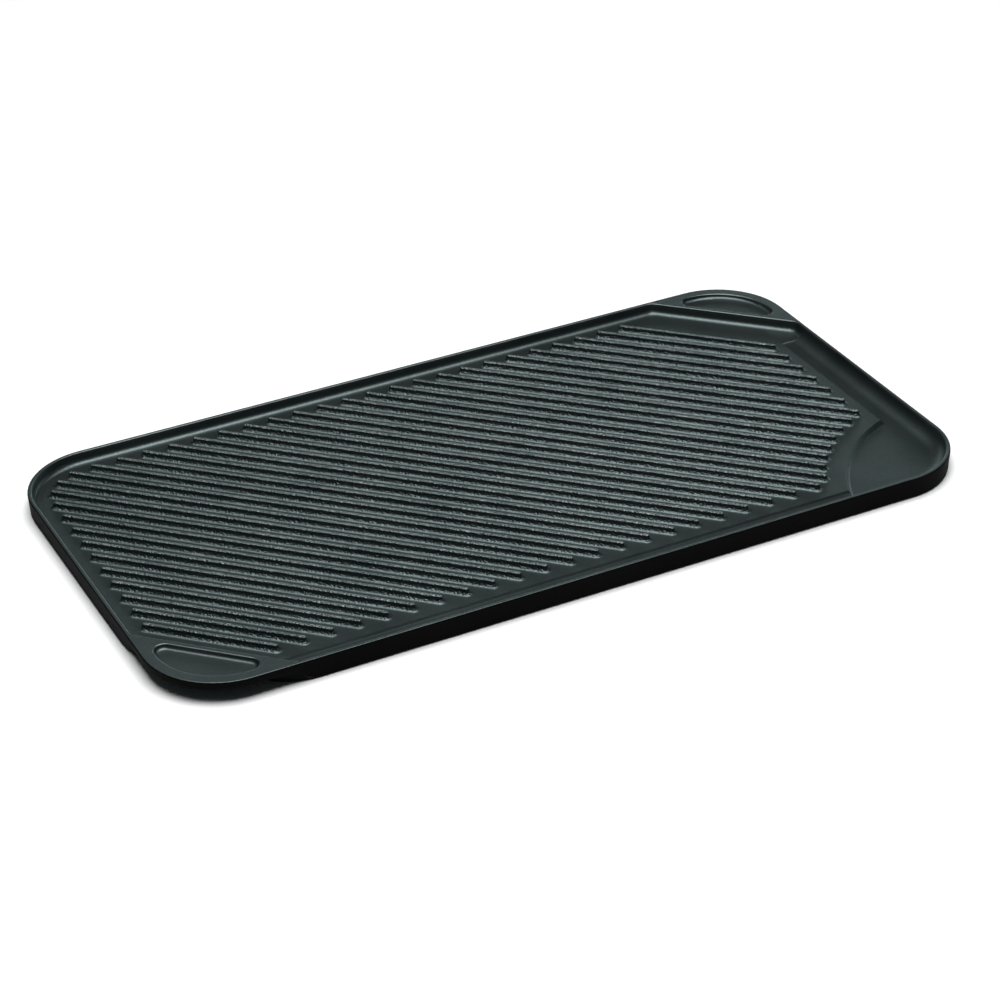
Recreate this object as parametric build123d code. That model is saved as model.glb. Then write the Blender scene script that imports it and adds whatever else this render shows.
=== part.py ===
"""Two-burner stovetop grill griddle, cast in one piece, with two steel plates set in its underside.

Millimetres, +Z up, origin at the middle of the face that rests on the stove. X is the long side,
-Y is the front. Two opposite corners, front left and back right, are handles.
"""

import os
from math import atan2, cos, degrees, radians, sin, tan

from build123d import *

# Overall size of the casting
length = 460.0
width = 242.0
height = 12.0
corner_radius = 41.0
skirt_draft = 3.2
base_edge_radius = 1.2

# Rim and the wall inside it
rim_width = 2.2
rim_edge_radius = 0.8
wall_draft = 16.0
wall_foot_radius = 3.2

# Levels of the cooking side, measured down from the top of the rim
crest_drop = 1.3
plateau_drop = 4.7
gutter_drop = 5.8
well_drop = 7.2

# Gutter around the raised plateau, measured in from the outer sides
gutter_left = 4.0
gutter_right = 18.9
gutter_front = 13.6
gutter_back = 9.0
step_draft = 40.0

# Ribs, which run across the griddle at an angle to its long side
rib_angle = 44.2
rib_pitch = 10.29
rib_count = 36
first_rib = -188.1
rib_crest_width = 2.3
rib_crest_radius = 0.75
rib_draft = 4.0
rib_foot_radius = 2.4
rib_end_left = 12.4
rib_end_right = 27.3
rib_end_front = 22.3
rib_end_back = 15.4
rib_end_corner = 28.0

# Drip well in the front right corner, bounded by an arc about a point outside the griddle, and the
# deep gutter that leads to it along the right side; a wide cove joins both to the rim
well_arc_radius = 96.0
well_arc_out = 14.0
well_arc_below = 23.0
well_draft = 40.0
well_foot_radius = 1.4
cove_radius = 8.0
deep_gutter_end = 69.0
rib_end_to_well = 11.2
# How far inside the well's outline the shallow gutter's floor stops
well_overlap = 2.0

# Handle lugs: the wall beside each lug is square to the line through the lugs
lug_wall = 200.6
lug_wall_corner = 7.0
lug_thickness = 4.8
lug_edge_radius = 1.4
lug_gutter = 6.0

# Finger gap under each lug, whose inner wall leans
notch_wall_top = 211.0
notch_wall_bottom = 203.5
notch_corner_radius = 17.0

# Thumb hollow in the top of each lug
hollow_rim = 6.5
hollow_from_wall = 2.9
hollow_depth = 2.4
hollow_draft = 15.0
hollow_tip_radius = 5.2
hollow_foot_radius = 2.0
hollow_edge_radius = 0.9

# Steel plates pressed into the underside, one over each burner
plate_length = 176.0
plate_width = 184.0
plate_thickness = 0.8
plate_corner_radius = 18.0
plate_gap = 22.0
plate_clearance = 0.05
hole_diameter = 5.0
hole_pitch = 20.0
hole_edge_margin = 10.0

# Two lengths that differ by less than this are the same
close = 0.01

# Unit vectors along the ribs and across them, towards the back right lug
along = Vector(cos(radians(rib_angle)), -sin(radians(rib_angle)))
across = Vector(sin(radians(rib_angle)), cos(radians(rib_angle)))
beyond = length + width


def half_plane(distance):
    """Flat face that covers all of the plan further than `distance` across the ribs from the middle."""
    middle = across * (distance + beyond / 2)
    return Pos(middle.X, middle.Y) * Rot(0, 0, 90 - rib_angle) * Rectangle(beyond, 2 * beyond)


def rounded_plan(inset):
    """The griddle's outline, moved in by `inset` all round."""
    return RectangleRounded(length - 2 * inset, width - 2 * inset, corner_radius - inset)


def without_lugs(plan, distance, radius):
    """The plan with its two lug corners cut off at `distance` from the middle, the cuts' ends rounded."""
    cut = plan - half_plane(distance) - Rot(0, 0, 180) * half_plane(distance)
    chord_ends = cut.vertices().filter_by(lambda v: abs(abs(reach(v)) - distance) < close)
    return fillet(chord_ends, radius)


def sunk(plan, top, depth, draft, foot_radius):
    """Solid that hollows out `plan` from the level `top`, with sloped sides and a rounded foot."""
    tool = extrude(Pos(0, 0, top) * plan, amount=-depth, taper=draft)
    foot = tool.edges().filter_by_position(Axis.Z, top - depth - close, top - depth + close)
    return fillet(foot, foot_radius)


def finger_gap():
    """Everything beyond the leaning wall that stands under the back right lug."""
    lean = degrees(atan2(notch_wall_top - notch_wall_bottom, height - lug_thickness))
    block = Box(beyond, 2 * beyond, beyond, align=(Align.MIN, Align.CENTER, Align.CENTER))
    foot = across * notch_wall_bottom
    return Pos(foot.X, foot.Y, 0) * Rot(0, 0, 90 - rib_angle) * Rot(0, lean, 0) * block


def blank():
    """Solid outside shape: the tapered skirt, with the two lugs standing over their finger gaps."""
    top = Pos(0, 0, height) * rounded_plan(0)
    slab = extrude(top, amount=-lug_thickness, taper=skirt_draft)
    under_edges = slab.edges().group_by(Axis.Z)[0]
    slab = fillet(under_edges, lug_edge_radius)
    base = extrude(top, amount=-height, taper=skirt_draft)
    base = base - finger_gap() - Rot(0, 0, 180) * finger_gap()
    upright = base.edges().filter_by(lambda e: abs((e @ 0).Z - (e @ 1).Z) > height - close)
    gap_ends = upright.filter_by(lambda e: abs(reach(e @ 0)) > notch_wall_bottom - close)
    base = fillet(gap_ends, notch_corner_radius)
    base = fillet(base.edges().group_by(Axis.Z)[0], base_edge_radius)
    return slab + base


def reach(point):
    """How far across the ribs a point lies from the middle of the griddle."""
    return across.X * point.X + across.Y * point.Y


def tray():
    """Space inside the rim, down to the floor of the gutter."""
    plan = without_lugs(rounded_plan(rim_width), lug_wall, lug_wall_corner)
    return sunk(plan, height, gutter_drop, wall_draft, wall_foot_radius)


def inner_box(left, right, front, back):
    """Rectangle that keeps the given distances from the griddle's four sides."""
    middle = ((left - right) / 2, (front - back) / 2)
    return Pos(*middle) * Rectangle(length - left - right, width - front - back)


def well_disc(grow=0.0):
    """Disc whose edge bounds the drip well, about a point outside the front right corner."""
    centre = (length / 2 + well_arc_out, -width / 2 - well_arc_below)
    return Pos(*centre) * Circle(well_arc_radius + grow)


def plateau():
    """Raised part of the floor that carries the ribs."""
    plan = inner_box(gutter_left, gutter_right, gutter_front, gutter_back)
    plan = plan - half_plane(lug_wall - lug_gutter) - Rot(0, 0, 180) * half_plane(lug_wall)
    rise = gutter_drop - plateau_drop
    corner = plan.vertices().group_by(Axis.X)[0].group_by(Axis.Y)[-1]
    plan = fillet(corner, corner_radius - gutter_back)
    # The sides slope outwards below the top edge, so the block is made upside down from its top
    block = extrude(Pos(0, 0, height - plateau_drop) * plan, amount=-rise, taper=-step_draft)
    return block & extrude(rounded_plan(rim_width), amount=height)


def deep_plan(grow=0.0):
    """Plan of the drip well and of the deep gutter along the right side, open towards the rim."""
    inner_side = length / 2 - gutter_right - grow
    strip_length = beyond / 2 + width / 2 - deep_gutter_end + grow
    strip = Pos(inner_side, -beyond / 2) * Rectangle(
        beyond, strip_length, align=(Align.MIN, Align.MIN)
    )
    return strip + well_disc(grow)


def drip_well():
    """Hollow that takes the fat, from above the plateau down to the well's floor."""
    coved = sunk(rounded_plan(rim_width), height, well_drop, wall_draft, cove_radius)
    depth = well_drop - plateau_drop
    sloped = sunk(deep_plan(), height - plateau_drop, depth, well_draft, well_foot_radius)
    above = extrude(Pos(0, 0, height - plateau_drop) * deep_plan(), amount=height)
    return coved & (sloped + above)


def rib_section():
    """Right half of a rib's cross-section, with its rounded crest and hollow foot."""
    rise = plateau_drop - crest_drop
    sink = plateau_drop - gutter_drop
    lean = tan(radians(rib_draft))
    top = rib_crest_width / 2
    bottom = top + rise * lean
    foot = bottom + rib_foot_radius
    half = make_face(
        Polyline(
            (0, sink), (0, rise), (top, rise), (bottom, 0), (foot, 0), (foot, sink), (0, sink)
        )
    )
    crest = half.vertices().sort_by(lambda v: (v.X - top) ** 2 + (v.Y - rise) ** 2)[0]
    half = fillet(crest, rib_crest_radius)
    root = half.vertices().sort_by(lambda v: (v.X - bottom) ** 2 + v.Y**2)[0]
    return fillet(root, rib_foot_radius)


def rib_field():
    """Plan inside which the middle line of every rib runs."""
    plan = inner_box(rib_end_left, rib_end_right, rib_end_front, rib_end_back)
    corner = plan.vertices().group_by(Axis.X)[0].group_by(Axis.Y)[-1]
    return fillet(corner, rib_end_corner) - well_disc(rib_end_to_well)


def rib(section, start, end):
    """One rib from start to end, with round ends."""
    run = end - start
    level = height - plateau_drop
    heading = run.X, run.Y, 0
    frame = Plane(origin=(start.X, start.Y, level), x_dir=(-run.Y, run.X, 0), z_dir=heading)
    whole = section + mirror(section, Plane.YZ)
    bar = extrude(frame * whole, amount=run.length)
    turned = revolve(Plane.XZ * section, Axis.Z)
    ends = [Pos(p.X, p.Y, level) * turned for p in (start, end)]
    return bar + ends


def ribs():
    """All the ribs, each cut to the length that the field leaves it."""
    field = rib_field()
    section = rib_section()
    made = []
    for i in range(rib_count):
        middle = across * (first_rib + i * rib_pitch)
        line = Line(middle - along * beyond, middle + along * beyond)
        inside = (field & line).edges().sort_by(SortBy.LENGTH)[-1]
        made.append(rib(section, inside @ 0, inside @ 1))
    return made


def thumb_hollow():
    """D-shaped hollow in the top of the front left lug."""
    centre = (corner_radius - length / 2, corner_radius - width / 2)
    disc = Pos(*centre) * Circle(corner_radius - hollow_rim)
    plan = disc & Rot(0, 0, 180) * half_plane(lug_wall + hollow_from_wall)
    plan = fillet(plan.vertices(), hollow_tip_radius)
    return sunk(plan, height, hollow_depth, hollow_draft, hollow_foot_radius)


def induction_plate(side, clearance=0.0):
    """Perforated steel plate under one burner; with a clearance, the seat that the casting has for it."""
    plan = RectangleRounded(
        plate_length + 2 * clearance, plate_width + 2 * clearance, plate_corner_radius + clearance
    )
    columns = int((plate_length - 2 * hole_edge_margin) / hole_pitch) + 1
    rows = int((plate_width - 2 * hole_edge_margin) / hole_pitch) + 1
    hole = Circle(hole_diameter / 2 - clearance)
    plan = plan - GridLocations(hole_pitch, hole_pitch, columns, rows) * hole
    plan = plan - GridLocations(hole_pitch, hole_pitch, columns - 1, rows - 1) * hole
    middle = side * (plate_length + plate_gap) / 2
    return extrude(Pos(middle, 0) * plan, amount=plate_thickness)


def top_edges(edges):
    """Those of the edges that lie in the level of the rim's top."""
    return edges.filter_by_position(Axis.Z, height - close, height + close)


def griddle_casting():
    """The whole casting."""
    shallow = tray() - extrude(deep_plan(-well_overlap), amount=height)
    body = blank() - shallow + plateau() - drip_well()
    body = fillet(top_edges(body.edges()), rim_edge_radius)
    hollows = [thumb_hollow(), Rot(0, 0, 180) * thumb_hollow()]
    hollowed = body - hollows
    mouths = top_edges(new_edges(body, combined=hollowed))
    body = fillet(mouths, hollow_edge_radius)
    seats = [induction_plate(side, plate_clearance) for side in (-1, 1)]
    return body - seats + ribs()


os.makedirs("parts", exist_ok=True)
export_step(griddle_casting(), "parts/griddle_casting.step")
export_step(induction_plate(-1), "parts/induction_plate_left.step")
export_step(induction_plate(1), "parts/induction_plate_right.step")
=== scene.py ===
"""Looks of a two-burner grill griddle: one non-stick casting with two steel plates in its base."""

from math import cos, radians, sin

import bpy
from mathutils import Matrix, Vector


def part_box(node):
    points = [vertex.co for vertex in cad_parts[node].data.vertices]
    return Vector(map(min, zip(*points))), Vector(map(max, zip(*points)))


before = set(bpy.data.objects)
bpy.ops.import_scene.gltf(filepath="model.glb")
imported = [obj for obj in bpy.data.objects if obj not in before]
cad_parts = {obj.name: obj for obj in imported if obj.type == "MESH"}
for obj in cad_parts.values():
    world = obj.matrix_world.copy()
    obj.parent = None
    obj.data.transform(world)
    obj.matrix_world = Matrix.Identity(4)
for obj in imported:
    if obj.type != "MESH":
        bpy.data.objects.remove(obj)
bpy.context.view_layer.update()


# Griddle casting: one pressure-cast aluminium plate, blasted, then sprayed with a dark non-stick
# coating on the cooking side and a plain black heat-proof paint on the skirt and underneath; that
# near-black paint is also painted shade on the skirt.
# The spray leaves a fine pebbled skin, and scrapers burnish the tops of the ribs first: their
# paler colour there is that wear and also a painted highlight.
class Wire:
    """A shader socket that can be used in a sum."""

    def __init__(self, tree, socket):
        self.tree = tree
        self.socket = socket

    def node(self, kind, settings=(), inputs=(), output=0):
        """Adds a node with its settings made first, then its sockets' values or wires."""
        made = self.tree.nodes.new(kind)
        for name, value in dict(settings).items():
            setattr(made, name, value)
        plug(made, inputs)
        return Wire(self.tree, made.outputs[output])

    def maths(self, operation, *values):
        """A Math node on this wire and the other values."""
        inputs = dict(enumerate((self,) + values))
        return self.node("ShaderNodeMath", {"operation": operation}, inputs)

    def __add__(self, other):
        return self.maths("ADD", other)

    def __mul__(self, other):
        return self.maths("MULTIPLY", other)

    def __sub__(self, other):
        return self.maths("SUBTRACT", other)

    def __rsub__(self, other):
        return (self * -1.0).maths("ADD", other)

    __radd__ = __add__
    __rmul__ = __mul__

    def axis(self, name):
        """The X, Y or Z wire of this vector."""
        return self.node("ShaderNodeSeparateXYZ", (), {0: self}, name)

    def step(self, low, high):
        """0 below low, 1 above high, smooth between."""
        inputs = {"Value": self, "From Min": low, "From Max": high}
        return self.node("ShaderNodeMapRange", {"interpolation_type": "SMOOTHSTEP"}, inputs)

    def noise(self, size, detail=1.0, stretch=(1.0, 1.0, 1.0)):
        """Noise from 0 to 1 on this vector, with patches about `size` metres across."""
        scaled = self.node("ShaderNodeMapping", (), {"Vector": self, "Scale": stretch})
        inputs = {"Vector": scaled, "Scale": 1.0 / size, "Detail": detail}
        return self.node("ShaderNodeTexNoise", (), inputs)

    def blend(self, first, second):
        """The colours first and second mixed by this wire."""
        # A Mix node's colours are its sockets 6 and 7, and come out of its output 2
        inputs = {0: self, 6: first, 7: second}
        return self.node("ShaderNodeMix", {"data_type": "RGBA"}, inputs, 2)

    def bump(self, depth, under=None):
        """A surface whose height follows this wire: `depth` metres for a change of 1."""
        inputs = {"Height": self, "Distance": depth}
        if under:
            inputs["Normal"] = under
        return self.node("ShaderNodeBump", (), inputs)

    def cover(self, shader, over):
        """Shows another shader over the material's own one where this wire is 1."""
        inputs = {0: self, 1: Wire(self.tree, shader.outputs[0]), 2: over}
        both = self.node("ShaderNodeMixShader", (), inputs)
        plug(self.tree.nodes["Material Output"], {"Surface": both})


def plug(node, inputs):
    """Sets a node's sockets to the given values, or links them to the given wires."""
    for name, value in dict(inputs).items():
        if isinstance(value, Wire):
            value.tree.links.new(value.socket, node.inputs[name])
        else:
            node.inputs[name].default_value = value


def coordinates(tree, kind):
    """The wire of the Object, Normal or Generated coordinates."""
    return Wire(tree, tree.nodes.new("ShaderNodeTexCoord").outputs[kind])


def new_finish(name):
    """A material with its shader and the wire of its object coordinates."""
    material = bpy.data.materials.new(name)
    material.use_nodes = True
    tree = material.node_tree
    return material, tree.nodes["Principled BSDF"], coordinates(tree, "Object")


def dress(node, material):
    """Puts a material on every slot of a CAD node."""
    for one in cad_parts[node].material_slots:
        one.material = material


low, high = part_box("griddle_casting")
half_length = (high[0] - low[0]) / 2
half_width = (high[1] - low[1]) / 2
rim_top = high[2]
corner_radius = 0.041
rib_angle = radians(44.2)
crest_level = rim_top - 0.0013
crest_band = 0.0003
plateau_level = rim_top - 0.0047

# Soft edges between the finishes, each as the values where it starts and where it ends
skirt_edge = (-0.0009, -0.0006)
rim_edge = (rim_top - 0.00014, rim_top - 0.00004)
turned_down = (-0.25, -0.05)
rib_foot = (plateau_level + 0.0001, plateau_level + 0.0006)
rib_ends = (-0.0125, -0.0105)
last_rib = (0.1925, 0.1945)

dark_coat = (0.056, 0.071, 0.072, 1.0)
pale_coat = (0.073, 0.090, 0.091, 1.0)
# The rib tops' paler colour: partly wear, partly a painted highlight on the crests
worn_highlight_coat = (0.112, 0.124, 0.124, 1.0)
# Near-black paint for the skirt and underneath, which is also painted shade on the skirt
dark_paint_shade = (0.001, 0.001, 0.001, 1.0)
pale_paint_shade = (0.003, 0.003, 0.003, 1.0)
fleck_share = 0.45
coat_change = (0.3, 0.7)
worn_highlight_change = (0.25, 0.6)
coat_roughness, mottle_roughness, worn_smoothness = 0.38, 0.06, 0.04
paint_roughness, fleck_roughness = 0.6, 0.2
flat_skin = 0.12
pebble_depth = 0.0007
ripple_depth = 0.00008

coating, shader, place = new_finish("nonstick_coating")
x, y, z = map(place.axis, "XYZ")
face_z = coordinates(place.tree, "Normal").axis("Z")
mottle = place.noise(size=0.035, detail=3.0)
fleck = place.noise(size=0.0009)
pebble = place.noise(size=0.0011)
ripple = place.noise(size=0.012)

# How far a point lies outside the griddle's rounded outline, negative inside it
past_x = (x.maths("ABSOLUTE") - (half_length - corner_radius)).maths("MAXIMUM", 0.0)
past_y = (y.maths("ABSOLUTE") - (half_width - corner_radius)).maths("MAXIMUM", 0.0)
outward = (past_x * past_x + past_y * past_y).maths("SQRT") - corner_radius
on_skirt = outward.step(*skirt_edge) * (1.0 - z.step(*rim_edge))
underneath = 1.0 - face_z.step(*turned_down)
# Where the near-black paint goes: on the skirt, where it is also painted shade, and on down-facing
# faces
shade_and_paint_mask = (on_skirt + underneath).maths("MINIMUM", 1.0)

below_rim = 1.0 - z.step(rim_top - crest_band, rim_top)
on_crest = z.step(crest_level - crest_band, crest_level) * below_rim
across_ribs = (x * sin(rib_angle) + y * cos(rib_angle)).maths("ABSOLUTE")
beside_ribs = outward.step(*rib_ends).maths("MAXIMUM", across_ribs.step(*last_rib))
on_ribs = z.step(*rib_foot) * (1.0 - beside_ribs)

cloud = mottle * (1.0 - fleck_share) + fleck * fleck_share
coat = cloud.step(*coat_change).blend(dark_coat, pale_coat)
# Paler rib tops where the mottle allows: partly burnish wear, partly a painted highlight
rubbed_and_highlit = on_crest * mottle.step(*worn_highlight_change)
pebbled = (pebble - 0.5) * (flat_skin + on_ribs * (1.0 - flat_skin))
skin = pebbled.bump(pebble_depth, ripple.bump(ripple_depth))
coat_inputs = {
    "Base Color": rubbed_and_highlit.blend(coat, worn_highlight_coat),
    "Metallic": 0.96,
    "Roughness": coat_roughness + mottle * mottle_roughness - on_crest * worn_smoothness,
    "Specular IOR Level": 0.4,
    "Normal": skin,
}
paint_and_shade_inputs = {
    "Base Color": mottle.blend(dark_paint_shade, pale_paint_shade),
    "Roughness": paint_roughness + fleck * fleck_roughness,
    "Specular IOR Level": 0.03,
    "Normal": skin,
}
plug(shader, coat_inputs)
shade_and_paint_mask.cover(shader, place.node("ShaderNodeBsdfPrincipled", (), paint_and_shade_inputs))
dress("griddle_casting", coating)


# Induction plates: sheets of magnetic stainless steel punched with rows of holes, pressed into the
# hot underside so that the aluminium fills the holes, then ground flat along the griddle's length.
dark_steel = (0.46, 0.45, 0.43, 1.0)
pale_steel = (0.56, 0.555, 0.545, 1.0)
steel_change = (0.35, 0.7)
steel_roughness, grain_roughness = 0.27, 0.16
grain_depth = 0.000012
steel, shader, place = new_finish("ground_steel")
grain = place.noise(size=0.0005, detail=3.0, stretch=(0.02, 1.0, 1.0))
tint = place.noise(size=0.06, detail=2.0)
steel_inputs = {
    "Base Color": tint.step(*steel_change).blend(dark_steel, pale_steel),
    "Metallic": 1.0,
    "Roughness": steel_roughness + grain * grain_roughness,
    "Normal": grain.bump(grain_depth),
}
plug(shader, steel_inputs)
for node in ("induction_plate_left", "induction_plate_right"):
    dress(node, steel)


# Studio: a wide pale floor, left out where the griddle's base covers it so that light from below
# reaches the base, a large soft lamp overhead, and a dim room with one bright wall behind.
floor_size = 24.0
floor_level = -0.0002
# The hole's half length and half width. The middle face that the inset leaves reaches as far
# from the middle as the inset is wide.
hole_x, hole_y = 0.189, 0.0935
inset = floor_size / 4
bpy.ops.object.select_all(action="DESELECT")
bpy.ops.mesh.primitive_plane_add(size=floor_size)
bpy.ops.object.mode_set(mode="EDIT")
bpy.ops.mesh.select_all(action="SELECT")
bpy.ops.transform.translate(value=(0.0, 0.0, floor_level))
bpy.ops.mesh.inset(thickness=inset)
bpy.ops.transform.resize(value=(hole_x / inset, hole_y / inset, 1.0))
bpy.ops.mesh.delete(type="FACE")
bpy.ops.object.mode_set(mode="OBJECT")
floor = bpy.context.object
floor.name = "floor"

# The floor's paper is clear seen from below, where it would hide the griddle
paper, shader, place = new_finish("paper")
plug(shader, {"Base Color": (0.93, 0.93, 0.93, 1.0), "Roughness": 0.9, "Specular IOR Level": 0.1})
from_below = place.node("ShaderNodeNewGeometry", output="Backfacing")
from_below.cover(shader, place.node("ShaderNodeBsdfTransparent"))
floor.data.materials.append(paper)

lamp_place = Vector((0.0, -0.05, 2.0))
light = bpy.data.lights.new("top_lamp", "AREA")
light.shape = "RECTANGLE"
light.size = 1.8
light.size_y = 1.5
light.energy = 62
lamp = bpy.data.objects.new("top_lamp", light)
lamp.location = lamp_place
lamp.rotation_euler = (-lamp_place).to_track_quat("-Z", "Y").to_euler()
bpy.context.scene.collection.objects.link(lamp)

# The room is dim, with a bright wall low behind the griddle on the right and a pale ground
room_light, wall_light, ground_light = 0.04, 2.6, 0.7
room_colour = (0.82, 1.0, 1.0, 1.0)
ground_colour = (1.0, 1.0, 1.0, 1.0)
wall_x, wall_y = 0.70, 0.71
wall_side = (0.45, 1.0)
wall_top = (0.18, 0.34)
horizon = (-0.01, 0.0)
world = bpy.data.worlds.new("studio")
bpy.context.scene.world = world
world.use_nodes = True
toward_x, toward_y, toward_z = map(coordinates(world.node_tree, "Generated").axis, "XYZ")
behind = (toward_x * wall_x + toward_y * wall_y).step(*wall_side)
on_wall = behind * (1.0 - toward_z.step(*wall_top))
ground = 1.0 - toward_z.step(*horizon)
room_inputs = {
    "Color": ground.blend(room_colour, ground_colour),
    "Strength": (room_light + on_wall * wall_light) * (1.0 - ground) + ground * ground_light,
}
plug(world.node_tree.nodes["Background"], room_inputs)

# Camera: a long lens, from the front left and above, tilted a little
distance = 1.481
azimuth = radians(-26.65)
elevation = radians(31.54)
roll = radians(-1.17)
aim = Vector((-0.0131, -0.0344, rim_top))
back = Vector((sin(azimuth) * cos(elevation), -cos(azimuth) * cos(elevation), sin(elevation)))
level = back.cross(Vector((0, 0, 1))).normalized() * -1
upright = back.cross(level)
right = level * cos(roll) + upright * sin(roll)
up = upright * cos(roll) - level * sin(roll)
camera_data = bpy.data.cameras.new("camera")
camera_data.sensor_width = 36.0
camera_data.lens = 102.2
camera_data.clip_end = 50.0
camera = bpy.data.objects.new("camera", camera_data)
turn = Matrix((right, up, back)).transposed()
camera.matrix_world = Matrix.Translation(aim + back * distance) @ turn.to_4x4()
bpy.context.scene.collection.objects.link(camera)
bpy.context.scene.camera = camera
bpy.context.scene.view_settings.view_transform = "Standard"
